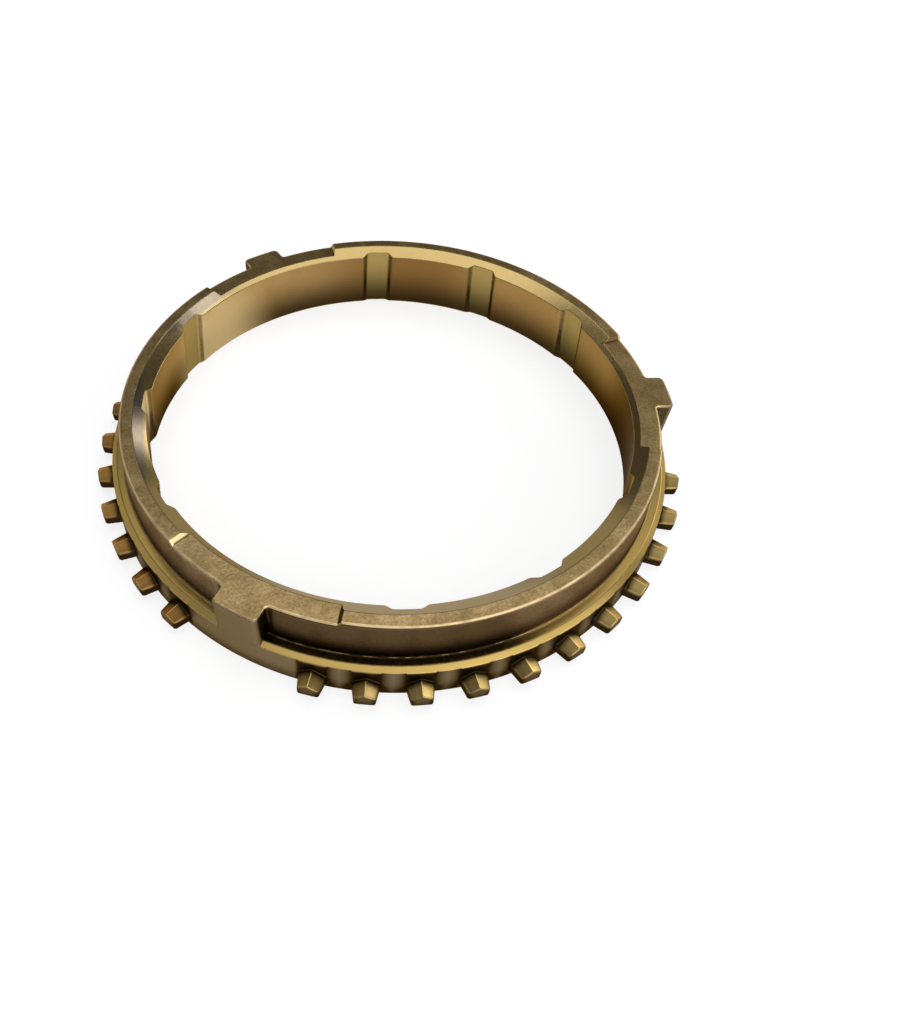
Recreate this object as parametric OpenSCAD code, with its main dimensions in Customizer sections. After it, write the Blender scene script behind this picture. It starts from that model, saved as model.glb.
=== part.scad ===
// Synchronizer ring of a manual gearbox, forged in brass and turned as one piece.
// Its conical bore grips the cone of a gear, its lugs key it to the hub,
// and its pointed teeth block the shift sleeve until both sides turn at one speed.
// The ring stands on its gear side. Z is its axis, and the first lug points along +X.
// Sizes are in millimetres and degrees.

/* [Ring] */
// Height of the ring, from the gear side to the raised pads
ring_h = 9.8; // [8.6:0.1:13]
// Wall thickness at the small end of the friction cone
wall_t = 3.2; // [2.8:0.05:4.5]
// Angle by which the forged outside of the wall and the flange leans in towards the top
draft = 3; // [1:0.5:5]
// Bevel round the outer top edge of the wall
wall_edge = 0.2; // [0.1:0.05:0.4]
// Radius of the fillet between the wall and the flange
foot_fillet = 0.25; // [0.1:0.05:0.35]

/* [Friction cone] */
// Radius of the cone at its small end, just under the entry bevel
cone_r = 29.8; // [25:0.1:40]
// Angle between the side of the cone and its axis
cone_angle = 6.5; // [5:0.5:8]
// Radial width of the entry bevel above the cone
entry_w = 1.6; // [0.8:0.05:1.8]
// Height of the entry bevel
entry_h = 0.95; // [0.6:0.05:1.5]
// Bevel at the large end of the cone, on the gear side
exit_bevel = 0.45; // [0.2:0.05:0.8]

/* [Oil grooves] */
// Groove places from one lug to the next, where the lug's own place stays plain
groove_places = 4; // [2:1:6]
// Width of the floor of a groove
groove_w = 3; // [1.5:0.1:4]
// Depth of a groove below the face of the cone
groove_d = 0.7; // [0.3:0.05:1]
// Angle by which the sides of a groove lean away from each other
groove_lean = 45; // [10:5:60]

/* [Flange] */
// Height of the flange that carries the teeth
flange_h = 4.5; // [4:0.1:5.5]
// How far the foot of the flange stands out from the top of the wall
flange_w = 2.15; // [1.8:0.05:3]
// Width of the bevel round the top edge of the flange
flange_edge_w = 0.65; // [0.3:0.05:0.8]
// Height of the bevel round the top edge of the flange
flange_edge_h = 0.45; // [0.2:0.05:0.6]

/* [Teeth] */
// Tooth places from one lug to the next
tooth_places = 13; // [8:1:15]
// Tooth places left bare at each lug
bare_places = 2; // [2:1:4]
// How far a tooth stands out from the foot of the flange
tooth_len = 1.85; // [0.8:0.05:3]
// Width of a tooth where it leaves the flange
tooth_root_w = 3; // [2.4:0.05:3.6]
// Width of a tooth at its tip
tooth_tip_w = 2.3; // [1.2:0.05:2.4]
// Height of the underside of a tooth above the gear side
tooth_base = 0.9; // [0.2:0.05:1.1]
// Height of a tooth's ridge above the gear side
tooth_h = 2.95; // [2.6:0.05:3.6]
// Angle between the two faces that meet at the ridge
point_angle = 120; // [110:2:140]
// Angle by which the ridge falls towards the tip
ridge_fall = 4; // [1:1:10]

/* [Lugs] */
// Number of lugs
lug_count = 3; // [2:1:4]
// Width of a lug
lug_w = 5.4; // [4:0.1:8]
// Radius of the fillets where a lug meets the wall
lug_fillet = 0.35; // [0.2:0.05:1.2]
// Radius of the rounding at the outer corners of a lug
lug_corner = 0.7; // [0.3:0.05:1.2]
// Bevel at the outer top edge of a lug
lug_edge = 0.2; // [0.1:0.05:0.4]
// Angle of the sunk stretch of top face round a lug
sunk_angle = 35.2; // [26:0.2:44]
// Depth of the sunk stretch below the raised pads
sunk_d = 0.55; // [0.3:0.05:0.7]
// Run of the slope that leads down to the sunk stretch
slope_run = 0.4; // [0.2:0.05:0.8]

/* [Hidden] */
$fn = 180;
BRASS = "#ab8c4a";
overlap = 0.6; // how far an added shape reaches into the one that carries it
clear = 1; // how far a cutter reaches past the faces that it cuts

wall_r = cone_r + wall_t;
foot_r = wall_r + (ring_h - flange_h) * tan(draft);
flange_r = wall_r + flange_w;
flange_top_r = flange_r - (flange_h - flange_edge_h) * tan(draft);
tip_r = flange_r + tooth_len;
cone_end_r = cone_r + (ring_h - entry_h - exit_bevel) * tan(cone_angle);
sunk_h = ring_h - sunk_d;
lug_step = 360 / lug_count;
tooth_step = lug_step / tooth_places;
groove_step = lug_step / groove_places;

// What a rounding adds in a concave corner or takes off a convex one:
// the part of a four-sided patch that lies outside a circle of radius r about its point centre.
module corner_fill(corner, side_a, centre, side_b, r) {
    difference() {
        polygon([corner, side_a, centre, side_b]);
        translate(centre) circle(r = r);
    }
}

// Half section of the turned blank, with the radius across and the height up.
module blank_section() {
    polygon([
        [cone_end_r + exit_bevel, 0],
        [flange_r, 0],
        [flange_top_r, flange_h - flange_edge_h],
        [flange_top_r - flange_edge_w, flange_h],
        [foot_r, flange_h],
        [wall_r + wall_edge * tan(draft), ring_h - wall_edge],
        [wall_r - wall_edge, ring_h],
        [cone_r + entry_w, ring_h],
        [cone_r, ring_h - entry_h],
        [cone_end_r, exit_bevel]
    ]);

    touch = foot_fillet / tan(45 + draft / 2);
    corner_fill(
        [foot_r, flange_h],
        [foot_r + touch, flange_h],
        [foot_r + touch, flange_h + foot_fillet],
        [foot_r - touch * sin(draft), flange_h + touch * cos(draft)],
        foot_fillet
    );
}

// Outline of one lug from above, with the fillets that lead into the wall.
module lug_plan() {
    seat_r = wall_r - lug_fillet / 10; // a little inside the wall, so that the fillet cuts it cleanly
    side = lug_w / 2;
    fillet_y = side + lug_fillet;
    fillet_x = sqrt((seat_r + lug_fillet) ^ 2 - fillet_y ^ 2);

    corner_y = side - lug_corner;
    corner_x = sqrt((flange_r - lug_corner) ^ 2 - corner_y ^ 2);

    difference() {
        translate([wall_r - overlap, -side]) square([flange_w + overlap + clear, lug_w]);
        for (turn = [0, 1])
            mirror([0, turn])
                corner_fill(
                    [flange_r + 2 * clear, side + clear],
                    [corner_x, side + clear],
                    [corner_x, corner_y],
                    [corner_x, corner_y] * (flange_r + 2 * clear) / (flange_r - lug_corner),
                    lug_corner
                );
    }
    for (turn = [0, 1])
        mirror([0, turn])
            corner_fill(
                [wall_r - overlap, side],
                [fillet_x, side],
                [fillet_x, fillet_y],
                [fillet_x, fillet_y] * seat_r / (seat_r + lug_fillet),
                lug_fillet
            );
}

// A lug runs from the gear side to the sunk top face, flush with the foot of the flange.
module lug() {
    intersection() {
        linear_extrude(sunk_h) lug_plan();
        rotate_extrude()
            polygon([
                [wall_r - 2 * overlap, 0],
                [flange_r, 0],
                [flange_r, sunk_h - lug_edge],
                [flange_r - lug_edge, sunk_h],
                [wall_r - 2 * overlap, sunk_h]
            ]);
    }
}

// A tooth narrows outwards and ends upwards in two faces that meet at a falling ridge.
module tooth() {
    root_x = flange_top_r - overlap;
    taper = (tooth_root_w - tooth_tip_w) / 2 / tooth_len;
    root_side = tooth_root_w / 2 + (flange_r - root_x) * taper;
    tip_side = tooth_tip_w / 2 - clear * taper;
    eave_drop = tooth_root_w / tan(point_angle / 2);

    intersection() {
        translate([0, 0, tooth_base])
            linear_extrude(tooth_h)
                polygon([
                    [root_x, -root_side],
                    [tip_r + clear, -tip_side],
                    [tip_r + clear, tip_side],
                    [root_x, root_side]
                ]);
        translate([flange_r, 0, tooth_h])
            rotate([0, ridge_fall, 0])
                rotate([90, 0, 90])
                    translate([0, 0, -2 * overlap])
                        linear_extrude(tooth_len + 2 * overlap + clear)
                            polygon([
                                [0, 0],
                                [-tooth_root_w, -eave_drop],
                                [-tooth_root_w, -tooth_h - eave_drop],
                                [tooth_root_w, -tooth_h - eave_drop],
                                [tooth_root_w, -eave_drop]
                            ]);
        cylinder(r = tip_r, h = tooth_base + tooth_h);
    }
}

// Cutter of the sunk stretch of top face round a lug, with its outer bevel and a slope at each end.
module sunk_cut() {
    inner_r = cone_r - clear;
    outer_r = wall_r + clear;
    rotate([0, 0, -sunk_angle / 2])
        rotate_extrude(angle = sunk_angle)
            polygon([
                [inner_r, sunk_h],
                [wall_r - wall_edge, sunk_h],
                [outer_r, sunk_h - wall_edge - clear],
                [outer_r, ring_h + clear],
                [inner_r, ring_h + clear]
            ]);
    for (turn = [0, 1])
        mirror([0, turn, 0])
            rotate([90, 0, 90 + sunk_angle / 2])
                translate([0, 0, inner_r])
                    linear_extrude(outer_r - inner_r)
                        polygon([
                            [-clear, sunk_h],
                            [0, sunk_h],
                            [slope_run * (1 + clear / sunk_d), ring_h + clear],
                            [-clear, ring_h + clear]
                        ]);
}

// Cutter of one oil groove, at one depth all along the cone, from the gear side into the entry bevel.
module groove_cut() {
    floor_side = groove_w / 2;
    mouth_side = floor_side + (groove_d + 2 * clear) * tan(groove_lean);
    translate([cone_end_r, 0, exit_bevel])
        rotate([0, -cone_angle, 0])
            translate([0, 0, -2 * clear])
                linear_extrude(ring_h + 4 * clear)
                    polygon([
                        [groove_d, -floor_side],
                        [groove_d, floor_side],
                        [-2 * clear, mouth_side],
                        [-2 * clear, -mouth_side]
                    ]);
}

// The whole ring: the blank with its cuts, then the lugs and the teeth that stand out from it.
module synchronizer_ring() {
    color(BRASS) {
        difference() {
            rotate_extrude() blank_section();
            for (lug_no = [0 : lug_count - 1])
                rotate([0, 0, lug_no * lug_step]) {
                    sunk_cut();
                    for (place = [1 : groove_places - 1])
                        rotate([0, 0, place * groove_step]) groove_cut();
                }
        }
        for (lug_no = [0 : lug_count - 1])
            rotate([0, 0, lug_no * lug_step]) {
                lug();
                for (place = [0 : tooth_places - bare_places - 1])
                    rotate([0, 0, (place + (bare_places + 1) / 2) * tooth_step]) tooth();
            }
    }
}

synchronizer_ring();
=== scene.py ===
# %% [markdown]
# # A brass synchronizer ring
# A synchronizer ring sits between a gear and the hub of a manual gearbox. Its conical bore rubs on a cone
# of the gear, its three lugs key it to the hub, and its pointed teeth hold the shift sleeve back until both
# sides turn at one speed. It is forged in brass, and then its cone, bevels and grooves are cut.
#
# The lesson builds the whole ring as one closed grid: a section of the ring is carried round the axis, and
# the teeth, lugs, grooves and sunk stretches are changes of that section with the angle. The other way
# would be to add and cut separate solids, but then every edge stays razor sharp, and the light has no
# rounding to catch.
#
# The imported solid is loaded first, as a fixed frame. Its box gives the ring's height and its reach over the
# teeth.

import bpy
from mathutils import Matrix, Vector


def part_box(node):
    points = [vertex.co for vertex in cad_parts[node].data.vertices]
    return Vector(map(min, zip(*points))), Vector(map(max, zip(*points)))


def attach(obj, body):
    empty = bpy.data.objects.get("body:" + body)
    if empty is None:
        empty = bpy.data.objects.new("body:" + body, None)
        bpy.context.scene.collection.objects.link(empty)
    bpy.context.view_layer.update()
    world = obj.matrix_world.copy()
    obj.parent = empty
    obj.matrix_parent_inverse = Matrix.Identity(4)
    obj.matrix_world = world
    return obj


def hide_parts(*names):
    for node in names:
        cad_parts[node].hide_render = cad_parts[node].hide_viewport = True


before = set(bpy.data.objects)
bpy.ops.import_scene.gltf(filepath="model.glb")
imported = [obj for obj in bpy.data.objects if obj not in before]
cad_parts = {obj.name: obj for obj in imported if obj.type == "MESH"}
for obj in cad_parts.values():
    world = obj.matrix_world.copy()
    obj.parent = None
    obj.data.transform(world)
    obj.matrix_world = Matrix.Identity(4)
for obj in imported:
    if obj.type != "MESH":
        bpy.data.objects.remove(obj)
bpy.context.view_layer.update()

import bpy
import numpy as np
from mathutils import Matrix, Vector

PIECE = "synchronizer_ring"
MM = 0.001
box_low, box_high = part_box(PIECE)

# %% [markdown]
# ## Sizes
# The height and the reach of the teeth come from the frame. The rest are the ring's own working sizes, in
# millimetres and degrees, so that a reader can set them beside a drawing. The forged outside leans in by a
# few degrees, as it must to leave its die, and every outside edge has a small rounding.

# %% Sizes in millimetres and degrees
RING_H = (box_high.z - box_low.z) / MM
TIP_R = box_high.y / MM
LUG_COUNT = 3
SECTOR = 360 / LUG_COUNT

CONE_R = 29.8
CONE_TAPER = np.tan(np.radians(6.5))
ENTRY_W = 1.6
ENTRY_H = 0.95
EXIT_BEVEL = 0.45
CONE_END_R = CONE_R + (RING_H - ENTRY_H - EXIT_BEVEL) * CONE_TAPER

GROOVE_PLACES = 4
GROOVE_STEP = SECTOR / GROOVE_PLACES
GROOVE_HALF = 1.5
GROOVE_DEPTH = 0.7

RIM_W = 3.2
WALL_R = CONE_R + RIM_W
DRAFT = np.tan(np.radians(3))
WALL_EDGE = 0.2
FLANGE_W = 2.15
FLANGE_H = 4.5
FLANGE_R = WALL_R + FLANGE_W
BEVEL_W = 0.65
BEVEL_H = 0.45
FOOT_R = WALL_R + (RING_H - FLANGE_H) * DRAFT

TOOTH_PLACES = 13
BARE_PLACES = 2
TOOTH_STEP = SECTOR / TOOTH_PLACES
FIRST_TOOTH = (BARE_PLACES + 1) / 2 * TOOTH_STEP
ROOT_HALF = 1.5
TIP_HALF = 1.15
TOOTH_BASE = 0.9
RIDGE_H = 2.95
ROOF_SLOPE = 1 / np.tan(np.radians(60))
RIDGE_FALL = np.tan(np.radians(4))

LUG_HALF = 2.7
LUG_CORNER = 0.7
LUG_FILLET = 0.35
LUG_EDGE = 0.2
SUNK_HALF = 17.6
SUNK_DROP = 0.55
SUNK_H = RING_H - SUNK_DROP
SLOPE_RUN = 0.4
print(f"sizes: {RING_H:.2f} mm high, {2 * TIP_R:.2f} mm over the teeth")

# %% [markdown]
# ## Columns: the teeth and the flange
# The grid's columns run up the ring like staves. They need not be evenly spaced: a column stands wherever
# the outline turns, at the side, the shoulder and the ridge of each tooth, and only a few stand in the
# gaps. The ring is its own mirror image about each lug, so the columns are worked out for half a sector,
# from the middle of a lug to the tooth that stands between two lugs, and are mirrored and repeated later.
#
# Across a tooth, a column's place is a share of half its width. The outermost two on each side stand almost
# in one place: one stays on the flange wall and the other rises with the tooth.


# %% Columns of the teeth and the flange
def turn(side, radius):
    """The angle in degrees of a point that lies a distance beside a radius: arcsin(side / radius)."""
    return np.degrees(np.arcsin(side / radius))


SHOULDER = 0.86
MID_ROOF = 0.45
RIDGE = 0.05
across = np.array([-1, -1, -SHOULDER, -MID_ROOF, -RIDGE, RIDGE, MID_ROOF, SHOULDER, 1, 1])
risen = np.array([0, 1, 1, 1, 1, 1, 1, 1, 1, 0])
ROOT_CREASE = 0.04
root_side = ROOT_HALF * across + ROOT_CREASE * across * (1 - risen)

TEETH_IN_HALF = (TOOTH_PLACES - BARE_PLACES + 1) // 2
tooth_middle = FIRST_TOOTH + TOOTH_STEP * np.arange(TEETH_IN_HALF)
tooth_turn = tooth_middle[:, None] + turn(root_side, FLANGE_R)
print("teeth: in half a sector", TEETH_IN_HALF, "with columns on each", len(across))

# %% [markdown]
# ## Columns: tooth by tooth
# Each gap has three columns of its own, which also say how much painted shade its corners take. The values of
# a tooth and of the gap after it are laid end to end, and the row stops at the ridge of the last tooth, where
# the mirror stands.

# %% Teeth and gaps, end to end
GAP_CREASE = np.array([0.4, 0.05, 0.4])
gap_columns = len(GAP_CREASE)
gap_share = np.arange(1, gap_columns + 1) / (gap_columns + 1)
gap_width = TOOTH_STEP - 2 * tooth_turn[0, -1] + 2 * tooth_middle[0]
gap_turn = tooth_turn[:, -1:] + gap_width * gap_share
teeth_columns = (TEETH_IN_HALF - 1) * (len(across) + gap_columns) + len(across) // 2


def tooth_by_tooth(on_tooth, in_gap):
    """Values on each tooth and in the gap after it, laid end to end up to the ridge of the last tooth."""
    every_tooth = np.ones((TEETH_IN_HALF, 1))
    return np.hstack([every_tooth * on_tooth, every_tooth * in_gap]).ravel()[:teeth_columns]


no_tooth = np.zeros(gap_columns)
teeth_turn = tooth_by_tooth(tooth_turn, gap_turn)
teeth_across = tooth_by_tooth(across, no_tooth)
teeth_risen = tooth_by_tooth(risen, no_tooth)
teeth_crease = tooth_by_tooth(1 - risen, GAP_CREASE)
print("teeth: columns in half a sector", teeth_columns)

# %% [markdown]
# ## Columns: round a lug
# Seen from above, the outside of the wall runs round each lug: along the lug's face, round its corner,
# straight down its side and through a hollow fillet into the wall. The path also keeps the direction that
# faces outwards at each column, because the foot and the top edge of the wall follow the same path a little
# further out or in.

# %% Columns round a lug, seen from above
CORNER_COLUMNS = 6
FILLET_COLUMNS = 5
face_y = np.array([0.3, 0.9, 1.4, 1.8])
corner_y = LUG_HALF - LUG_CORNER
corner_x = np.sqrt((FLANGE_R - LUG_CORNER) ** 2 - corner_y**2)
corner_from = np.degrees(np.arctan2(corner_y, corner_x))
corner_dir = np.radians(np.linspace(corner_from, 90, CORNER_COLUMNS))
fillet_y = LUG_HALF + LUG_FILLET
fillet_x = np.sqrt((WALL_R + LUG_FILLET) ** 2 - fillet_y**2)
fillet_to = np.degrees(np.arctan2(fillet_y, fillet_x))
fillet_dir = np.radians(np.linspace(90, fillet_to, FILLET_COLUMNS))

lug_x = np.concatenate([
    np.sqrt(FLANGE_R**2 - face_y**2),
    corner_x + LUG_CORNER * np.cos(corner_dir),
    fillet_x - LUG_FILLET * np.cos(fillet_dir),
])
lug_y = np.concatenate([
    face_y,
    corner_y + LUG_CORNER * np.sin(corner_dir),
    fillet_y - LUG_FILLET * np.sin(fillet_dir),
])
lug_out = np.concatenate([np.arcsin(face_y / FLANGE_R), corner_dir, fillet_dir])
face_count = len(face_y) + CORNER_COLUMNS
lug_count = len(lug_x)
lug_side = lug_y[:face_count]
print("lug: columns on its face and corner", face_count, "and with its fillet", lug_count)

# %% [markdown]
# ## Columns: the whole outside of half a sector
# On the flange the columns of the lug's fillet are spread wider than on the wall, and a few more lead on to
# the first tooth. The lug's face is flush with the foot of the flange in its middle, and leans in with the
# flange wall towards its corners.

# %% Columns of the outside
FILLET_END = 6.2
BY_LUG_COLUMNS = 6
FLUSH_CURVE = 0.7
fillet_turn = np.linspace(turn(LUG_HALF, FLANGE_R - BEVEL_W), FILLET_END, FILLET_COLUMNS)
by_lug_turn = np.linspace(fillet_turn[-1], teeth_turn[0], BY_LUG_COLUMNS + 2)[1:-1]
flange_turn = np.concatenate([turn(lug_side, FLANGE_R), fillet_turn, by_lug_turn, teeth_turn])
columns = len(flange_turn)
number = np.arange(columns)
is_lug = (number < face_count).astype(float)
flush = np.zeros(columns)
flush[:face_count] = np.clip((LUG_HALF - lug_side) / (LUG_HALF - face_y[1]), 0, 1) ** FLUSH_CURVE

before_teeth = np.zeros(columns - teeth_columns)
tooth_across = np.concatenate([before_teeth, teeth_across])
tooth_risen = np.concatenate([before_teeth, teeth_risen])
tooth_crease = np.concatenate([before_teeth, teeth_crease])
print("outside: columns in half a sector", columns)

# %% [markdown]
# ## Columns: the wall and the top face
# Past the lug the wall is plain, but the top face isn't: round each lug it lies half a millimetre lower,
# and a short slope leads up to the raised pads. Four columns stand at that slope. Between them the columns
# are spread evenly.

# %% Columns of the wall and the top face
EASE = 0.22
slope_turn = np.degrees(SLOPE_RUN / WALL_R)
slope_at = np.argmin(abs(flange_turn - SUNK_HALF)) - 1
wall_stops = np.array([lug_count - 1, slope_at, slope_at + 1, slope_at + 2, slope_at + 3, columns - 1])
wall_angles = np.array([
    np.degrees(np.arctan2(lug_y[-1], lug_x[-1])),
    SUNK_HALF - EASE,
    SUNK_HALF,
    SUNK_HALF + slope_turn,
    SUNK_HALF + slope_turn + EASE,
    flange_turn[-1],
])
wall_turn = np.radians(np.interp(number, wall_stops, wall_angles))
past_lug = wall_turn[lug_count:]
path_x = np.concatenate([lug_x, WALL_R * np.cos(past_lug)])
path_y = np.concatenate([lug_y, WALL_R * np.sin(past_lug)])
path_out = np.concatenate([lug_out, past_lug])
flare = np.clip((number - face_count) / (lug_count - face_count), 0, 1)
path_turn = np.degrees(np.arctan2(path_y, path_x))
top_h = np.interp(path_turn, [SUNK_HALF, SUNK_HALF + slope_turn], [SUNK_H, RING_H])
print(f"top face: from {top_h.min():.2f} to {top_h.max():.2f} mm high")

# %% [markdown]
# ## Columns: the bore
# Inside, each oil groove runs straight down the cone at one depth, with a flat floor and leaning sides. Its
# columns are given by their distance beside the groove's middle, so its edges stay parallel at every
# height. The lips of a groove are slightly broken, and so are the inner corners at its floor. Half a sector
# holds one whole groove and half of the next, and the columns of the land between them are spread evenly.

# %% Columns across a groove
BREAK = 0.12
FLOOR_SHARE = 0.4
lip = GROOVE_HALF + GROOVE_DEPTH
groove_half = np.array([
    FLOOR_SHARE * GROOVE_HALF, GROOVE_HALF - BREAK, GROOVE_HALF + BREAK, lip - BREAK, lip + BREAK,
])
half_sunk = np.clip((lip - groove_half) / GROOVE_DEPTH, 0, 1)
groove_side = np.concatenate([-groove_half[::-1], groove_half])
groove_sunk = np.concatenate([half_sunk[::-1], half_sunk])
half_groove = len(groove_half)
groove_from = np.argmin(abs(flange_turn - GROOVE_STEP)) - half_groove
groove_to = groove_from + len(groove_side)
last_from = columns - half_groove
print("bore: groove starts at column", groove_from, "of", columns)


# %% Columns of the whole bore
def in_grooves(values):
    """0 on the land, and the values given across the whole groove and the first half of the last one."""
    row = np.zeros(columns)
    row[groove_from:groove_to] = values
    row[last_from:] = values[:half_groove]
    return row


LIP_ROOM = 0.5
groove_reach = turn(groove_side[-1], CONE_R)
land_stops = [
    0, face_count - 1, lug_count - 1, *wall_stops[1:5], groove_from - 1, groove_to, last_from - 1,
]
land_angles = [
    flange_turn[0],
    turn(LUG_HALF - 2 * LUG_EDGE, CONE_R),
    turn(fillet_y, CONE_R),
    *wall_angles[1:5],
    GROOVE_STEP - groove_reach - LIP_ROOM,
    GROOVE_STEP + groove_reach + LIP_ROOM,
    2 * GROOVE_STEP - groove_reach - LIP_ROOM,
]
bore_middle = np.interp(number, land_stops, land_angles)
bore_middle[groove_from:groove_to] = GROOVE_STEP
bore_middle[last_from:] = 2 * GROOVE_STEP
bore_side = in_grooves(groove_side)
bore_sunk = in_grooves(groove_sunk)
print("bore: columns in grooves", np.count_nonzero(bore_sunk), "of", columns)

# %% [markdown]
# ## The section's corners
# A section of the ring has fourteen corners, counted from the inner edge of the gear side: out along the
# underside, up the flange and over a tooth, in over the flange, up the wall, in over the top face, down the
# entry bevel and the cone. Where a column has no tooth, the tooth's four corners lie on the flange wall,
# and on a lug all corners up to the top edge lie on the lug's face. So each corner is one row of numbers, a
# radius, an angle and a height for every column, and a side of a tooth, lug or groove is just the step from
# one column to the next.


# %% Ways to place a corner at every column
def mixed(plain, changed, share):
    """The plain value where share is 0, the changed one where it is 1, and in between by that share."""
    return plain + share * (changed - plain)


def along_path(out):
    """Radius and angle of the wall's path, moved by a distance along the direction that faces outwards."""
    x = path_x + out * np.cos(path_out)
    y = path_y + out * np.sin(path_out)
    return np.hypot(x, y), np.degrees(np.arctan2(y, x))


def bore_turn(radius):
    """Angle of the bore's columns at a radius: the land's own angle, or beside the middle of a groove."""
    return bore_middle + turn(bore_side, radius)


TIP_ROUND = 0.12
past_shoulder = np.clip((abs(tooth_across) - SHOULDER) / (1 - SHOULDER), 0, 1)


def tooth_corner(plain_h, reach, tooth_h, lug_h):
    """A corner of the tooth, at its reach (0 root, 1 tip) and its height. Off the teeth it lies on the
    flange wall at the plain height, and on a lug at the lug's height."""
    side = tooth_across * mixed(ROOT_HALF, TIP_HALF, reach)
    tooth_r = mixed(FLANGE_R - tooth_h * DRAFT, TIP_R - TIP_ROUND * past_shoulder, reach)
    tooth_angle = flange_turn - turn(tooth_across * ROOT_HALF, FLANGE_R) + turn(side, tooth_r)
    corner_h = mixed(mixed(plain_h, tooth_h, tooth_risen), lug_h, is_lug)
    plain_r = FLANGE_R - (1 - flush) * corner_h * DRAFT
    return mixed(plain_r, tooth_r, tooth_risen), mixed(flange_turn, tooth_angle, tooth_risen), corner_h


path_r = along_path(0)[0]
print(f"path round the wall and a lug: {path_r.min():.2f} to {path_r.max():.2f} mm from the axis")

# %% [markdown]
# ## Radii and heights
# The roof of a tooth falls from its ridge to both sides, and a little towards the tip. Its eaves are eased.
# Where a groove meets the entry bevel or the gear side, its floor is carried on along the cone until it
# reaches them. On a lug the bevel of the flange runs out: its upper edge ends a little lower at the lug's
# sides than in the middle.

# %% Radii, angles and heights that the corners need
EAVE_ROUND = 0.07
RUN_OUT_SIDE = 0.15
RUN_OUT_MIDDLE = 0.1
eave_drop = EAVE_ROUND * past_shoulder
root_h = RIDGE_H - abs(tooth_across) * ROOT_HALF * ROOF_SLOPE - eave_drop
tip_h = RIDGE_H - (TIP_R - FLANGE_R) * RIDGE_FALL - abs(tooth_across) * TIP_HALF * ROOF_SLOPE - eave_drop
eave_h = RIDGE_H - ROOT_HALF * ROOF_SLOPE - EAVE_ROUND

edge_size = mixed(WALL_EDGE, LUG_EDGE, is_lug)
foot_r, foot_turn = along_path(flare * (FOOT_R - WALL_R))
edge_r, edge_turn = along_path(flare * WALL_EDGE * DRAFT)
rim_r, rim_turn = along_path(-edge_size)

entry_slope = ENTRY_H / ENTRY_W
sunk_r = bore_sunk * GROOVE_DEPTH * np.hypot(1, CONE_TAPER)
small_r = CONE_R + sunk_r / (1 + CONE_TAPER * entry_slope)
exit_drop = np.minimum(sunk_r / (1 - CONE_TAPER), EXIT_BEVEL - BREAK)
large_r = CONE_END_R + exit_drop * CONE_TAPER + sunk_r
exit_r = CONE_END_R + np.maximum(EXIT_BEVEL, EXIT_BEVEL * CONE_TAPER + sunk_r)
entry_r = CONE_R + (top_h - (RING_H - ENTRY_H)) / entry_slope

bevel_r = mixed(FLANGE_R - (FLANGE_H - BEVEL_H) * DRAFT - BEVEL_W, foot_r, is_lug)
bevel_turn = mixed(flange_turn, foot_turn, is_lug)
shoulder_r = FLANGE_R - (1 - flush) * (FLANGE_H - BEVEL_H) * DRAFT
run_out = mixed(FLANGE_H - RUN_OUT_SIDE, FLANGE_H + RUN_OUT_MIDDLE, flush)
print(f"bore: {2 * entry_r.max():.2f} mm wide at the entry, {2 * CONE_R:.2f} mm where the cone starts")

# %% [markdown]
# ## The table of corners
# Each stretch of the section, from one corner to the next, has a name. It stands for the number of the
# corner where the stretch starts, so RING_WALL + 0.5 is half way up the wall.

# %% Corners of the section, for every column of half a sector
UNDERSIDE, FLANGE_FOOT, TOOTH_UNDER, TOOTH_TIP, TOOTH_ROOF, FLANGE_WALL, FLANGE_BEVEL = range(7)
FLANGE_FLAT, RING_WALL, RIM_BEVEL, TOP_FACE, ENTRY_FACE, CONE_FACE, EXIT_FACE = range(7, 14)
LUG_ROW_H = [1.6, 2.3, 3.0]
LUG_ROW_OVER = 0.7
flat = np.zeros(columns)
corners = np.array([
    (exit_r, bore_turn(exit_r), flat),
    (FLANGE_R + flat, flange_turn, flat),
    tooth_corner(TOOTH_BASE, 0, TOOTH_BASE, TOOTH_BASE),
    tooth_corner(mixed(TOOTH_BASE, eave_h, 1 / 3), 1, TOOTH_BASE, LUG_ROW_H[0]),
    tooth_corner(mixed(TOOTH_BASE, eave_h, 2 / 3), 1, tip_h, LUG_ROW_H[1]),
    tooth_corner(eave_h, 0, root_h, LUG_ROW_H[2]),
    (shoulder_r, flange_turn, FLANGE_H - BEVEL_H + flat),
    (bevel_r, bevel_turn, mixed(FLANGE_H, run_out, is_lug)),
    (foot_r, foot_turn, mixed(FLANGE_H, FLANGE_H + LUG_ROW_OVER, is_lug)),
    (edge_r, edge_turn, top_h - edge_size),
    (rim_r, rim_turn, top_h),
    (entry_r, bore_turn(entry_r), top_h),
    (small_r, bore_turn(small_r), RING_H - ENTRY_H + (small_r - CONE_R) * entry_slope),
    (large_r, bore_turn(large_r), EXIT_BEVEL - exit_drop),
])
print("section: corners", corners.shape[0], "columns in half a sector", corners.shape[2])

# %% [markdown]
# ## The whole ring of corners
# The half sector is mirrored about the lug, by turning its angles round, and the sector is then repeated at
# every lug. Mirroring numbers before they become a mesh keeps all faces pointing outwards, which mirroring
# a mesh doesn't.


# %% Corners of the whole ring, as points
def all_round(values):
    """Rows of values over half a sector, mirrored about the lug and repeated at every lug."""
    return np.tile(np.concatenate([values[..., ::-1], values], axis=-1), LUG_COUNT)


ring_r = all_round(corners[:, 0])
sector_turn = np.concatenate([-corners[:, 1, ::-1], corners[:, 1]], axis=-1)
ring_turn = np.radians(np.hstack([sector_turn + SECTOR * sector for sector in range(LUG_COUNT)]))
ring_h = all_round(corners[:, 2])
points = np.stack([ring_r * np.cos(ring_turn), ring_r * np.sin(ring_turn), ring_h], axis=-1)
print("ring: corners and columns", points.shape[:2])

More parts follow.
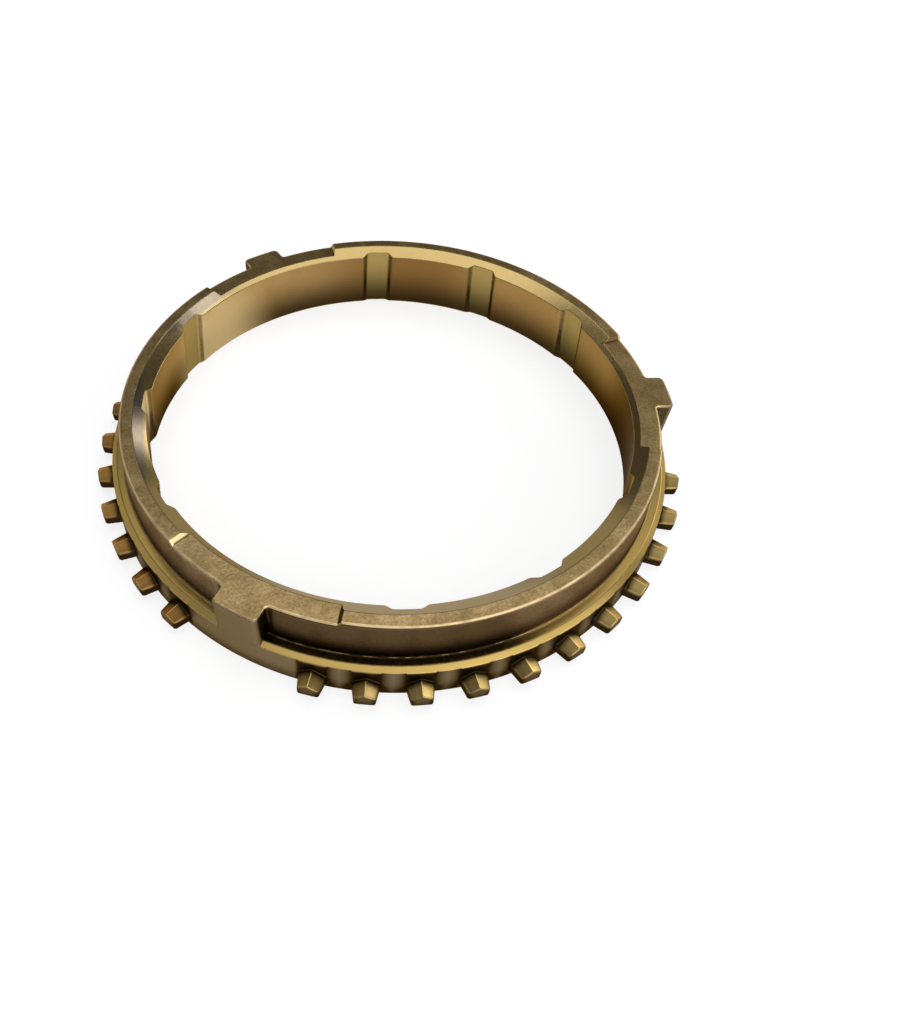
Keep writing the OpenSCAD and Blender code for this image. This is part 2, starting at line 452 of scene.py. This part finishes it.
# %% [markdown]
# ## Rounded edges
# No edge of a real forging is sharp. Each corner of the section gives way to a short curve that starts and
# ends a little way along its two sides. A Bevel modifier could do this too, but it would trip over the
# narrow columns at the teeth, and here it is one line of algebra. There is one length of cut for each
# corner, in the order of the corners.

# %% Rounded corners of the section
CUT = np.array([0.12, 0.15, 0.1, 0.16, 0.2, 0.12, 0.1, 0.1, 0.3, 0.14, 0.14, 0.1, 0.08, 0.1])
ARC = np.linspace(0, 1, 4)
NEAR_SHARE = 0.45


def round_corners(corner):
    """Each corner P becomes P + (1 - t)^2 a + t^2 b for t from 0 to 1, where a and b lead from P a cut's
    length towards the corners before and after it, or almost half way where they are near."""
    def lead(shift):
        side = np.roll(corner, shift, axis=0) - corner
        length = np.linalg.norm(side, axis=-1, keepdims=True)
        return side * np.minimum(CUT[:, None, None] / length, NEAR_SHARE)

    t = ARC[None, :, None, None]
    curve = corner[:, None] + (1 - t) ** 2 * lead(1)[:, None] + t**2 * lead(-1)[:, None]
    return curve.reshape(-1, *corner.shape[1:])


arcs = round_corners(points)
print("edges: rows and columns", arcs.shape[:2])

# %% [markdown]
# ## The turned cone
# The cone gets more rows than the rest, because fine lines are turned into it, which cut through the oil
# film when the ring is pressed on. The floors of the oil grooves stay plain. Every row of the grid keeps
# its place along the section as a number, called its stretch.

# %% Rows of the grid, from the inner edge of the gear side and back to it
LINE_PITCH = 0.6
LINE_DEPTH = 0.03
LINE_ROWS = 4
ARC_REACH = 0.1
line_count = int((RING_H - ENTRY_H - EXIT_BEVEL) / LINE_PITCH)
cone_share = np.arange(1, line_count * LINE_ROWS) / (line_count * LINE_ROWS)


def cone_rows(small_end, large_end):
    """Rows from the small to the large end of the cone, cut outwards by the depth of a line times
    (1 - cos(2 pi lines share)) / 2, except in the grooves."""
    straight = small_end + cone_share[:, None, None] * (large_end - small_end)
    outwards = straight * [1, 1, 0] / np.linalg.norm(straight[..., :2], axis=-1, keepdims=True)
    cut = LINE_DEPTH * (1 - np.cos(2 * np.pi * line_count * cone_share)) / 2
    return straight + outwards * cut[:, None, None] * (1 - all_round(bore_sunk))[:, None]


split = (CONE_FACE + 1) * len(ARC)
grid = np.concatenate([arcs[:split], cone_rows(arcs[split - 1], arcs[split]), arcs[split:]])
corner_stretch = (np.arange(len(points))[:, None] + (ARC - 0.5) * 2 * ARC_REACH).ravel()
cone_stretch = CONE_FACE + mixed(ARC_REACH, 1 - ARC_REACH, cone_share)
stretch = np.concatenate([corner_stretch[:split], cone_stretch, corner_stretch[split:]])
print("grid: rows and columns", grid.shape[:2])

# %% [markdown]
# ## The mesh
# Rows and columns both close on themselves, so the grid is a closed surface with no seam and no poles. Each
# corner of a face keeps its stretch: the whole part says which stretch of the section it lies on, and the
# fraction how far along. The finish reads it to tell a turned face from a forged one.


# %% The ring's mesh
def grid_mesh(name, net):
    """A mesh of quads between neighbouring rows and columns of a net of points that closes both ways."""
    index = np.arange(net.shape[0] * net.shape[1]).reshape(net.shape[:2])
    beside = np.roll(index, -1, axis=1)
    above = np.roll(index, -1, axis=0)
    quads = np.stack([index, beside, np.roll(beside, -1, axis=0), above], axis=-1)
    made = bpy.data.meshes.new(name)
    made.from_pydata((net.reshape(-1, 3) * MM).tolist(), [], quads.reshape(-1, 4).tolist())
    return made


def mark(name, domain, values):
    """Stores one number per vertex or per face corner of the ring under a name."""
    layer = mesh.attributes.new(name, "FLOAT", domain)
    layer.data.foreach_set("value", np.ascontiguousarray(values, dtype=np.float32).ravel())


mesh = grid_mesh(PIECE, grid)
next_stretch = np.append(stretch[1:], stretch[0] + len(points))
around = np.stack([stretch, stretch, next_stretch, next_stretch], axis=-1)
mark("stretch", "CORNER", np.repeat(around[:, None], grid.shape[1], axis=1))
ring = bpy.data.objects.new("ring", mesh)
bpy.context.scene.collection.objects.link(ring)
print("mesh: vertices", len(mesh.vertices), "triangles", 2 * len(mesh.polygons))

# %% [markdown]
# ## Marks on the mesh
# Eight more numbers, one per vertex, mark what the stretch alone can't tell: the lugs, the oil grooves, the
# teeth, the creases beside them, the eaves of their roofs, the slopes of the top face and the feet of those
# slopes, and the nooks where a lug meets the wall. Each is a row of values round the ring, kept to some
# stretches of the section.


# %% Marks for the finish
def between(first, last):
    """True for the rows of the grid whose stretch lies between two values."""
    return ((stretch > first) & (stretch < last))[:, None]


on_teeth = between(TOOTH_UNDER - 0.5, FLANGE_BEVEL - 0.05)
on_top = between(TOP_FACE - 0.05, ENTRY_FACE + 0.05)
off_bore = between(UNDERSIDE + 0.5, ENTRY_FACE + 0.5)
eave_share = np.clip((abs(tooth_across) - MID_ROOF) / (1 - MID_ROOF), 0, 1) * tooth_risen
slope_foot = number == slope_at + 1
slope_face = slope_foot | (number == slope_at + 2)
in_nook = (number >= face_count - 1) & (number < lug_count)
marks = {
    "lug": between(UNDERSIDE + 0.5, TOP_FACE + 0.5) * all_round(is_lug),
    "groove": ~off_bore * all_round(bore_sunk),
    "tooth": on_teeth * all_round(tooth_risen),
    "crease": between(FLANGE_FOOT + 0.05, FLANGE_BEVEL + 0.05) * all_round(tooth_crease),
    "eave": on_teeth * all_round(eave_share),
    "step": on_top * all_round(slope_face),
    "step_foot": on_top * all_round(slope_foot),
    "nook": between(RING_WALL - 0.2, RIM_BEVEL) * all_round(in_nook),
}
for name, values in marks.items():
    mark(name, "POINT", values)
print("marks:", list(marks))

# %% [markdown]
# ## Flat faces that shade flat
# Smooth shading bends the light over every edge, also over a broad face beside a narrow rounding. A
# Weighted Normal modifier would help, but its threshold is made for larger things than this ring. On a grid
# the same idea is a few sums: at each vertex only the faces that bend away a little take part, and a broad
# face counts far more than a narrow one.

# %% Shading normals
SHARP = np.cos(np.radians(48))
CORNER_STEPS = [(0, 0), (0, 1), (1, 1), (1, 0)]


def corner_normals(net):
    """Normal at each face corner: the sum of the normals of the four faces round its vertex, each times the
    cube of its area, without those that bend away by more than the sharp angle."""
    beside = np.roll(net, -1, axis=1)
    above = np.roll(net, -1, axis=0)
    far = np.roll(beside, -1, axis=0)
    normal = np.cross(far - net, above - beside)
    area = np.linalg.norm(normal, axis=-1, keepdims=True)
    normal /= area
    pull = normal * area**3

    def round_vertex(down, right):
        total = np.zeros_like(net)
        for shift in [(i - down, j - right) for i in (0, 1) for j in (0, 1)]:
            bend = (normal * np.roll(normal, shift, axis=(0, 1))).sum(axis=-1, keepdims=True)
            total += np.roll(pull, shift, axis=(0, 1)) * (bend > SHARP)
        return total / np.linalg.norm(total, axis=-1, keepdims=True)

    return np.stack([round_vertex(*corner) for corner in CORNER_STEPS], axis=2)


mesh.polygons.foreach_set("use_smooth", np.ones(len(mesh.polygons), dtype=bool))
mesh.normals_split_custom_set(corner_normals(grid).reshape(-1, 3).tolist())
print("normals: corners", len(mesh.loops))

# %% [markdown]
# ## Shader sums as Python
# A finish is a sum of masks and patterns. Written out as node after node it is hard to read, so one small
# class wraps an output socket and lets Python's own operators add the Math nodes. Every other kind of node
# comes from its one method, node, which takes the type, the settings and the values or links of the
# sockets. A Mix node has sockets for each type of data: 0 is the share, 6 and 7 are the two colours, and
# output 2 is the mixed colour.


# %% A socket that takes part in sums
class Socket:
    """An output socket of a material's node tree, or a tree with no socket yet."""

    def __init__(self, tree, output=None):
        self.tree = tree
        self.output = output

    def node(self, kind, settings=None, inputs=None, output=0):
        """Adds a node, makes its settings, fills its inputs with values or links, and gives one output."""
        made = self.tree.nodes.new("ShaderNode" + kind)
        for name, value in (settings or {}).items():
            setattr(made, name, value)
        for name, value in (inputs or {}).items():
            if isinstance(value, Socket):
                self.tree.links.new(value.output, made.inputs[name])
            else:
                made.inputs[name].default_value = value
        return Socket(self.tree, made.outputs[output] if made.outputs else None)

    def math(self, operation, first, second):
        """A Math node on two values."""
        return self.node("Math", {"operation": operation}, {0: first, 1: second})

    def __add__(self, other):
        return self.math("ADD", self, other)

    def __radd__(self, other):
        return self.math("ADD", other, self)

    def __sub__(self, other):
        return self.math("SUBTRACT", self, other)

    def __rsub__(self, other):
        return self.math("SUBTRACT", other, self)

    def __mul__(self, other):
        return self.math("MULTIPLY", self, other)

    def __rmul__(self, other):
        return self.math("MULTIPLY", other, self)

    def ramp(self, low, high, first=0.0, last=1.0):
        """A smooth rise from first to last while the value goes from low to high."""
        values = {"Value": self, "From Min": low, "From Max": high, "To Min": first, "To Max": last}
        return self.node("MapRange", {"interpolation_type": "SMOOTHSTEP"}, values)

    def tint(self, first, second):
        """A colour mixed from two colours by this value as the share of the second."""
        def opaque(shade):
            return shade if isinstance(shade, Socket) else (*shade, 1)

        return self.node("Mix", {"data_type": "RGBA"}, {0: self, 6: opaque(first), 7: opaque(second)}, 2)


brass = bpy.data.materials.new("brass")
brass.use_nodes = True
brass.node_tree.nodes.clear()
finish = Socket(brass.node_tree)
print("finish: material", brass.name)

# %% [markdown]
# ## The finish
# The ring shows several kinds of surface in one metal. The forging's skin is dull, grainy and brown. The
# bevels, the flange and the oil grooves are freshly cut and light. The cone is turned, and burnished brown
# by use. The roofs of the teeth are gold, with painted shade in the corners round them, and the edge of the
# top face is rubbed bright, which also paints its highlight. Each is a mask along the section, and the masks
# then mix colours and roughness.
#
# The patterns are clouds of noise in the ring's own space, from blotches of a few millimetres to the grain
# of the skin, so they stay in place when the ring is turned.


# %% Marks and patterns that the finish reads
def marked(name):
    """The number that is stored on the mesh under a name."""
    return finish.node("Attribute", {"attribute_name": name}, output="Fac")


def noise(size, detail, roughness=0.5):
    """Cloudy pattern from 0 to 1 whose blotches are about size millimetres wide."""
    inputs = {"Vector": position, "Scale": 1 / (size * MM), "Detail": detail, "Roughness": roughness}
    return finish.node("TexNoise", inputs=inputs)


position = finish.node("TexCoord", output="Object")
height = finish.node("SeparateXYZ", inputs={"Vector": position}, output="Z")
along = marked("stretch")
lug, groove, tooth, crease, eave, step, step_foot, nook = [marked(name) for name in marks]
blotch = noise(5, 3.0)
patch = noise(1.6, 3.0, 0.6)
speck = noise(0.55, 2.0, 0.6)
grain = noise(0.3, 2.0, 0.7)
print("finish: marks and patterns, nodes", len(brass.node_tree.nodes))

# %% [markdown]
# ## Masks of the surfaces
# A mask is 1 on one kind of surface and 0 elsewhere. Most follow from the stretch alone. The lugs are left
# out of the wall and the flange, because they keep their forged face.


# %% Masks of the different surfaces
def stretch_mask(first, last, soft=0.05):
    """1 on the stretches of the section from first to last, and 0 elsewhere."""
    return along.ramp(first - soft, first + soft) * along.ramp(last - soft, last + soft, 1.0, 0.0)


RIM_LEFT_ON_LUG = 0.3
wall = stretch_mask(RING_WALL, RIM_BEVEL + 0.3) * (1 - lug)
top = stretch_mask(TOP_FACE, ENTRY_FACE)
flange_wall = stretch_mask(FLANGE_FOOT, FLANGE_BEVEL)
flange_bevel = stretch_mask(FLANGE_BEVEL, FLANGE_FLAT) * (1 - lug)
flange_flat = stretch_mask(FLANGE_FLAT, RING_WALL) * (1 - lug)
entry = stretch_mask(ENTRY_FACE, CONE_FACE)
cone = stretch_mask(CONE_FACE + 0.06, EXIT_FACE)
roof = stretch_mask(TOOTH_ROOF, FLANGE_WALL) * tooth
# The edge of the top face: rubbed bright, which also paints its highlight.
rim_rubbed_and_lit = stretch_mask(RIM_BEVEL + 0.35, TOP_FACE + 0.07, 0.06) * (1 - (1 - RIM_LEFT_ON_LUG) * lug)
slope = step.ramp(0.5, 0.95) * top
forged = (top + wall) * (1 - slope)
print("finish: masks, nodes", len(brass.node_tree.nodes))

# %% [markdown]
# ## Sides of the ring
# The colour also changes round the ring, and much of that is painted light and shade. The front of the wall
# and flange is darkened, a painted shade, and the entry bevel there is rougher and lighter, a painted
# reflection. The cone has a painted reflection, light at the back left and golden at the back right, and a
# painted shade at the right. One groove has a painted highlight, the entry bevel has two pale spots that
# paint the colour of its highlights, and the teeth at the left are darker. The slopes of the top face have
# a painted highlight, and a painted shade on the golden side. Each mask rises towards a direction, in
# degrees round the axis from the first lug.


# %% Masks of the sides
def side_mask(degrees, first, last):
    """Rises from 0 to 1 towards one side of the ring, between two distances from its axis in millimetres,
    measured along that direction."""
    side = (np.cos(np.radians(degrees)), np.sin(np.radians(degrees)), 0)
    distance = finish.node("VectorMath", {"operation": "DOT_PRODUCT"}, {0: position, 1: side}, "Value")
    return distance.ramp(first * MM, last * MM)


HIGHLIGHT_SHARE = 0.75
LIT_LEAST = 0.4
# Painted shade: the front of the wall, its foot and the flange flat are darkened.
front_shade = side_mask(265, 28.5, 31.5)
# Front of the entry bevel: rougher, which is real, and lighter in colour, which is a painted reflection.
front_rough_and_lit = side_mask(268, 24, 29)
# Painted highlight colour: two spots of the entry bevel where lamp highlights fall.
pale_highlights = side_mask(143, 29.6, 30.4) + side_mask(189, 29.6, 30.4)
# Painted highlight on the cone at the back left.
back_left_highlight = HIGHLIGHT_SHARE * side_mask(141, 28.4, 31.2)
# Painted highlight in the groove at the left.
groove_highlight = side_mask(180, 30, 30.6)
# Painted reflection: the cone is lighter at the back left, in blotches.
back_left_lit = side_mask(136, 20, 29.5) * (LIT_LEAST + (1 - LIT_LEAST) * blotch)
# Painted reflection on the cone at the back right, and painted shade on the slopes there.
back_right_light_and_shade = side_mask(32, 22, 28.5)
# Painted shade on the cone at the right.
right_shade = side_mask(-10, 27.5, 30.2)
# The teeth at the left take a darker colour.
left_darker = side_mask(195, 20, 33)
print("finish: sides, nodes", len(brass.node_tree.nodes))

# %% [markdown]
# ## Colours
# All colours are shades of one brass, from the pale yellow of a fresh cut to the near black of painted
# shade. Some of them are painted light or shade, as their comments say. The skin comes first, and each
# surface is then laid over it by its mask.

# %% Shades of brass
SKIN = (0.26, 0.18, 0.077)
SKIN_LIGHT = (0.45, 0.325, 0.15)
# Colour of the skin's grain, also the painted shade of the slopes on the golden side.
SKIN_DARK_AND_SHADE = (0.085, 0.053, 0.022)
# Painted shade: the upright faces of the flange and lugs are darker.
FACE_SHADED = (0.22, 0.163, 0.10)
WALL_BRASS = (0.30, 0.21, 0.13)
# Painted shade on the front of the wall.
WALL_FRONT_SHADE = (0.12, 0.078, 0.043)
ENTRY_BRASS = (0.42, 0.305, 0.125)
# Painted reflection: the lighter front of the entry bevel.
ENTRY_FRONT_LIT = (0.66, 0.53, 0.32)
# Painted highlight colour for the two pale spots of the entry bevel.
ENTRY_HIGHLIGHT_TINT = (0.24, 0.195, 0.14)
# Painted highlight colour.
PAINTED_SHINE = (0.90, 0.70, 0.36)
BEVEL_BRASS = (0.60, 0.42, 0.13)
FLAT_BRASS = (0.37, 0.255, 0.075)
ROOF_BRASS = (0.66, 0.47, 0.17)
ROOF_DARKER = (0.50, 0.27, 0.075)
# Painted highlight on the slopes of the top face.
SLOPE_HIGHLIGHT = (0.52, 0.40, 0.20)
BURNISHED = (0.27, 0.145, 0.042)
# Painted reflection colour of the cone.
CONE_LIT = (0.50, 0.33, 0.13)
# Painted reflection colour of the cone, golden.
CONE_LIT_GOLD = (0.40, 0.24, 0.08)
# Painted shade colour of the cone.
CONE_SHADE = (0.10, 0.052, 0.02)
GROOVE_BRASS = (0.42, 0.30, 0.10)
# Colour of the rubbed edge and of the painted highlights.
RUBBED_AND_HIGHLIGHT = (0.85, 0.64, 0.35)
# Colour of the painted shade in corners.
SHADE_COLOUR = (0.018, 0.010, 0.004)
print("shades: lightest", PAINTED_SHINE, "darkest", SHADE_COLOUR)

# %% Colours laid over each other
BLOTCH_SHARE = 0.6
GRAIN_SHARE = 0.45
light_skin = BLOTCH_SHARE * blotch.ramp(0.35, 0.7) + (1 - BLOTCH_SHARE) * patch.ramp(0.35, 0.7)
# The cone's own burnished colour, with its painted reflections, highlight and shade.
cone_with_painted_light = back_right_light_and_shade.tint(back_left_lit.tint(BURNISHED, CONE_LIT), CONE_LIT_GOLD)
cone_with_painted_light = right_shade.tint(cone_with_painted_light, CONE_SHADE)
cone_with_painted_light = back_left_highlight.tint(cone_with_painted_light, PAINTED_SHINE)
colour = light_skin.tint(SKIN, SKIN_LIGHT)
# Upright faces of the flange and lugs, darker as painted shade.
colour = ((flange_wall + lug) * (1 - top)).tint(colour, FACE_SHADED)
# Wall colour, darker on the front as painted shade.
colour = wall.tint(colour, front_shade.tint(WALL_BRASS, WALL_FRONT_SHADE))
colour = flange_bevel.tint(colour, BEVEL_BRASS)
colour = flange_flat.tint(colour, FLAT_BRASS)
# Entry bevel, with a painted reflection at the front and a painted highlight colour at two spots.
colour = entry.tint(colour, pale_highlights.tint(front_rough_and_lit.tint(ENTRY_BRASS, ENTRY_FRONT_LIT), ENTRY_HIGHLIGHT_TINT))
# Cone and grooves, with a painted highlight in one groove.
colour = cone.tint(colour, groove.tint(cone_with_painted_light, groove_highlight.tint(GROOVE_BRASS, PAINTED_SHINE)))
colour = roof.tint(colour, left_darker.tint(ROOF_BRASS, ROOF_DARKER))
# Painted highlight on the slopes, and painted shade on them on the golden side.
colour = slope.tint(colour, back_right_light_and_shade.tint(SLOPE_HIGHLIGHT, SKIN_DARK_AND_SHADE))
colour = (grain.ramp(0.32, 0.68) * GRAIN_SHARE * forged).tint(colour, SKIN_DARK_AND_SHADE)
print("finish: colours, nodes", len(brass.node_tree.nodes))

# %% [markdown]
# ## Painted shade and rubbed edges
# The corners where shade falls are darkened in the colour, as painted shade: at the foot of the wall, most
# of all on the front, at the roots of the teeth, on the sides of the grooves, in the nooks by the lugs, at
# the lower end of the cone and towards the bottom of the flange wall. An Ambient Occlusion node could find
# such corners, but it is noisy, and a mask along the section lets each kind of corner have its own share.
# Handling rubs the edge of the top face bright, which also paints its highlight, and in places a thin bright
# line at the foot of the wall is a painted highlight.

# %% Painted shade in the corners
FOOT_SHADE = 0.15
FOOT_FRONT_SHADE = 0.7
FLAT_FRONT_SHADE = 0.9
CONE_LOW_SHADE = 0.92
MOST_SHADE = 0.94
EVEN_SHARE = 0.7
SPECK_SHARE = 0.6
UNSHADED_FROM = 2.4
SHADED_TO = 0.2
foot_wall = along.ramp(RING_WALL + 0.05, RING_WALL + 0.6, 1.0, 0.0) * along.ramp(RING_WALL - 0.1, RING_WALL)
foot_flat = along.ramp(FLANGE_FLAT - 0.14, FLANGE_FLAT + 0.12)
foot_flat = foot_flat * along.ramp(RING_WALL - 0.05, RING_WALL + 0.05, 1.0, 0.0)
# The foot of the wall and the flange flat, with more painted shade on the front.
foot = (foot_wall * (FOOT_SHADE + FOOT_FRONT_SHADE * front_shade) + foot_flat * FLAT_FRONT_SHADE * front_shade) * (1 - lug)
roof_root = along.ramp(TOOTH_ROOF + 0.5, TOOTH_ROOF + 0.95)
roof_root = roof_root * stretch_mask(TOOTH_ROOF, FLANGE_WALL + 0.6) * tooth
over_root = stretch_mask(FLANGE_WALL - 0.1, FLANGE_WALL + 0.85, 0.1) * tooth
groove_wall = groove.ramp(0.1, 0.4) * groove.ramp(0.6, 0.95, 1.0, 0.0) * cone
tip_low = stretch_mask(TOOTH_UNDER, TOOTH_ROOF, 0.1) * tooth
# Painted shade: the flange wall darkens towards the table.
bottom = height.ramp(SHADED_TO * MM, UNSHADED_FROM * MM, 1.0, 0.0) * flange_wall
# Painted shade: the cone darkens towards its lower end.
cone_low = along.ramp(CONE_FACE + 0.15, CONE_FACE + 0.92) * cone * (1 - back_left_highlight)
# Share of painted shade in each kind of corner.
shade_shares = [
    (foot, 1.0), (roof_root, 0.9), (over_root, 0.85), (groove_wall, 0.5), (nook, 0.7),
    (step_foot.ramp(0.6, 0.95), 0.85), (crease, 0.95), (tip_low, 0.4), (eave, 0.4), (bottom, 0.6),
]
corner_shade = sum(mask * share for mask, share in shade_shares)
uneven = EVEN_SHARE + SPECK_SHARE * speck
# Painted shade, speckled, laid over the colour.
painted_shade = finish.math("MINIMUM", corner_shade * uneven + cone_low * CONE_LOW_SHADE, MOST_SHADE)
colour = painted_shade.tint(colour, SHADE_COLOUR)
print("finish: kinds of dirt", len(shade_shares) + 1)

# %% Rubbed edges and painted highlights
LINE_SHARE = 0.3
# Painted highlight: a thin bright line at the foot of the wall.
foot_highlight = stretch_mask(RING_WALL - 0.04, RING_WALL, 0.015) * (1 - lug) * patch.ramp(0.45, 0.65)
# Rubbed edge with its painted highlight, and the painted highlight line at the foot.
rubbed_and_highlight = finish.math("MAXIMUM", rim_rubbed_and_lit * patch.ramp(0.3, 0.55, 0.6, 1.0), foot_highlight * LINE_SHARE)
colour = rubbed_and_highlight.tint(colour, RUBBED_AND_HIGHLIGHT)
print("finish: rubbed edges, nodes", len(brass.node_tree.nodes))

# %% [markdown]
# ## Roughness and grain
# The cut faces are the smoothest, so they take most off the roughness, and the forged top and wall take off
# a little. The cone is rougher, and so is the front of the entry bevel. The forged skin also has a bump of a
# few hundredths of a millimetre, which is too fine for the grid.

# %% Roughness, bump and the shader
BASE_ROUGH = 0.38
SPECK_ROUGH = 0.08
CONE_ROUGH = 0.05
ENTRY_SMOOTH = 0.26
FRONT_ROUGH = 0.4
PATCH_BUMP = 1.2
BUMP_STRENGTH = 0.6
BUMP_DEPTH = 0.045
EDGE_TINT = (0.5, 0.43, 0.34, 1)
smooth_shares = [
    (flange_flat, 0.12), (flange_bevel, 0.08), (entry, ENTRY_SMOOTH - FRONT_ROUGH * front_rough_and_lit),
    (roof, 0.12), (wall, 0.06), (slope, 0.12), (top, 0.06),
]
smooth = sum(mask * share for mask, share in smooth_shares)
rough = BASE_ROUGH + SPECK_ROUGH * speck + CONE_ROUGH * cone - smooth
bump = finish.node("Bump", inputs={
    "Strength": BUMP_STRENGTH, "Distance": BUMP_DEPTH * MM, "Height": (grain + PATCH_BUMP * patch) * forged,
})
surface = finish.node("BsdfPrincipled", inputs={
    "Base Color": colour, "Roughness": rough, "Metallic": 1.0, "Specular Tint": EDGE_TINT, "Normal": bump,
})
finish.node("OutputMaterial", inputs={"Surface": surface})
mesh.materials.append(brass)
print("finish: nodes", len(brass.node_tree.nodes))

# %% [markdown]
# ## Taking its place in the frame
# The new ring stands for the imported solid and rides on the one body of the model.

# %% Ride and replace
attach(ring, "root")
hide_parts(PIECE)
print("piece:", ring.name)

# %% [markdown]
# ## Floor
# The ring lies on a plain white table. Seen directly or in the metal, the table glows a little, so that it
# looks white without more light on the ring. To all other rays it is plain paper, and it keeps the ring's
# shadow.

# %% Floor
FLOOR_HALF = 3.0
FLOOR_GAP = 0.02
floor_mesh = bpy.data.meshes.new("floor")
floor_corners = FLOOR_HALF * np.array([[-1, -1, 0], [1, -1, 0], [1, 1, 0], [-1, 1, 0]])
floor_corners[:, 2] = box_low.z - FLOOR_GAP * MM
floor_mesh.from_pydata(floor_corners.tolist(), [], [[0, 1, 2, 3]])
floor = bpy.data.objects.new("floor", floor_mesh)
bpy.context.scene.collection.objects.link(floor)
print("floor: half width", FLOOR_HALF, "m")

# %% Paper of the floor
WHITE_SHARE = 0.65
GLOW = 1.2
PAPER = (0.95, 0.95, 0.95, 1)
paper = bpy.data.materials.new("paper")
paper.use_nodes = True
paper.node_tree.nodes.clear()
sheet = Socket(paper.node_tree)
light_path = sheet.node("LightPath").output.node
camera_ray, glossy_ray, clear_ray = [
    Socket(paper.node_tree, light_path.outputs[f"Is {kind} Ray"])
    for kind in ("Camera", "Glossy", "Transmission")
]
seen = sheet.math("MINIMUM", camera_ray + glossy_ray + clear_ray, 1.0)
dull = sheet.node("BsdfDiffuse", inputs={"Color": PAPER})
white = sheet.node("Emission", inputs={"Color": (1, 1, 1, 1), "Strength": GLOW})
shown = sheet.node("MixShader", inputs={0: seen * WHITE_SHARE, 1: dull, 2: white})
sheet.node("OutputMaterial", inputs={"Surface": shown})
floor_mesh.materials.append(paper)
print("paper: nodes", len(paper.node_tree.nodes))

# %% [markdown]
# ## Light
# Metal shows its lamps, so each is placed for what a face of the ring should mirror. A large soft box hangs
# overhead, and two wide ones stand in front, one low to the right and one high. Another stands at the
# right, with three small bright ones about it, like panes of a window, for the sharp lights on bevels and
# teeth. Two dim ones, behind and at the left, fill the far sides. The room itself is dim, so that the metal
# has something dark to show beside them.


# %% Lamps and room
def soft_box(name, place, width, depth, brightness, aim=(0, 0, 0)):
    """An area lamp at a place that faces aim, in metres. Its power is its brightness times pi times its
    area."""
    data = bpy.data.lights.new(name, "AREA")
    data.shape = "RECTANGLE"
    data.size = width
    data.size_y = depth
    data.energy = brightness * np.pi * width * depth
    lamp = bpy.data.objects.new(name, data)
    lamp.location = place
    lamp.rotation_mode = "QUATERNION"
    lamp.rotation_quaternion = (Vector(aim) - Vector(place)).to_track_quat("-Z", "Y")
    bpy.context.scene.collection.objects.link(lamp)


soft_box("overhead", (0.035, 0.175, 0.66), 0.65, 0.57, 1.7, aim=(0.035, 0, 0))
soft_box("front", (0.45, -0.62, 0.27), 1.2, 0.42, 2.3)
soft_box("front_high", (-0.04, -0.48, 0.56), 1.1, 0.36, 1.0)
soft_box("right", (0.66, 0.255, 0.35), 0.40, 0.26, 2.6)
soft_box("window_high", (0.407, 0.235, 0.647), 0.14, 0.12, 2.8)
soft_box("window_low", (0.29, 0.57, 0.30), 0.08, 0.08, 4.2)
soft_box("side", (0.543, 0.409, 0.169), 0.16, 0.16, 4.2)
soft_box("behind", (0.0, 0.95, 0.16), 1.6, 0.32, 0.5, aim=(0, 0, 0.16))
soft_box("left", (-0.75, 0.06, 0.27), 0.9, 0.45, 0.4)

ROOM_GREY = (0.1, 0.1, 0.1, 1)
world = bpy.data.worlds.new("room")
bpy.context.scene.world = world
world.use_nodes = True
world.node_tree.nodes["Background"].inputs["Color"].default_value = ROOM_GREY
bpy.context.scene.view_settings.view_transform = "Standard"

# %% [markdown]
# ## Camera
# The camera stands close, so the near side of the ring looks larger than the far side. Its place is given
# as a distance and a height angle from the middle of the ring, and it is turned a little by hand, as a
# photographer does. The lens follows from a focal length in pixels, and its shift from the pixel that the
# lens points at.

# %% Sizes of the view, in pixels, millimetres and radians
IMAGE_W = 906
IMAGE_H = 1024
FOCAL_PIXELS = 786.9
AXIS_X = 360.5
AXIS_Y = 485.9
SENSOR = 36.0
CLIP_START = 5
DISTANCE = 105.1
ELEVATION = np.radians(47.45)
AZIMUTH = np.radians(-5.58)
ROLL = np.radians(3.11)
YAW = np.radians(1.94)
PITCH = np.radians(2.91)
print("view:", IMAGE_W, "by", IMAGE_H, "pixels, from", DISTANCE, "mm")


# %% Camera
def axis_turn(angle, first, second):
    """Rotation by an angle in the plane of two axes, from the first towards the second."""
    matrix = np.eye(3)
    matrix[first, first] = matrix[second, second] = np.cos(angle)
    matrix[second, first] = np.sin(angle)
    matrix[first, second] = -np.sin(angle)
    return matrix


forward = np.array([0, np.cos(ELEVATION), -np.sin(ELEVATION)])
sideways = np.array([1, 0, 0])
level = np.stack([sideways, np.cross(forward, sideways), forward])
by_hand = axis_turn(PITCH, 1, 2) @ axis_turn(YAW, 2, 0) @ axis_turn(ROLL, 0, 1)
swing = axis_turn(AZIMUTH, 0, 1)
camera_axes = ((by_hand @ level) * [[1], [-1], [-1]]) @ swing.T
camera_place = swing @ (-DISTANCE * MM * forward)

camera_data = bpy.data.cameras.new("camera")
camera_data.sensor_width = SENSOR
camera_data.lens = FOCAL_PIXELS * SENSOR / IMAGE_H
camera_data.shift_x = (IMAGE_W / 2 - AXIS_X) / IMAGE_H
camera_data.shift_y = (AXIS_Y - IMAGE_H / 2) / IMAGE_H
camera_data.clip_start = CLIP_START * MM
camera = bpy.data.objects.new("camera", camera_data)
camera.matrix_world = Matrix.Translation(camera_place) @ Matrix(camera_axes.T.tolist()).to_4x4()
bpy.context.scene.collection.objects.link(camera)
bpy.context.scene.camera = camera
print("camera: lens", round(camera_data.lens, 2), "mm, at", np.round(camera_place, 4))
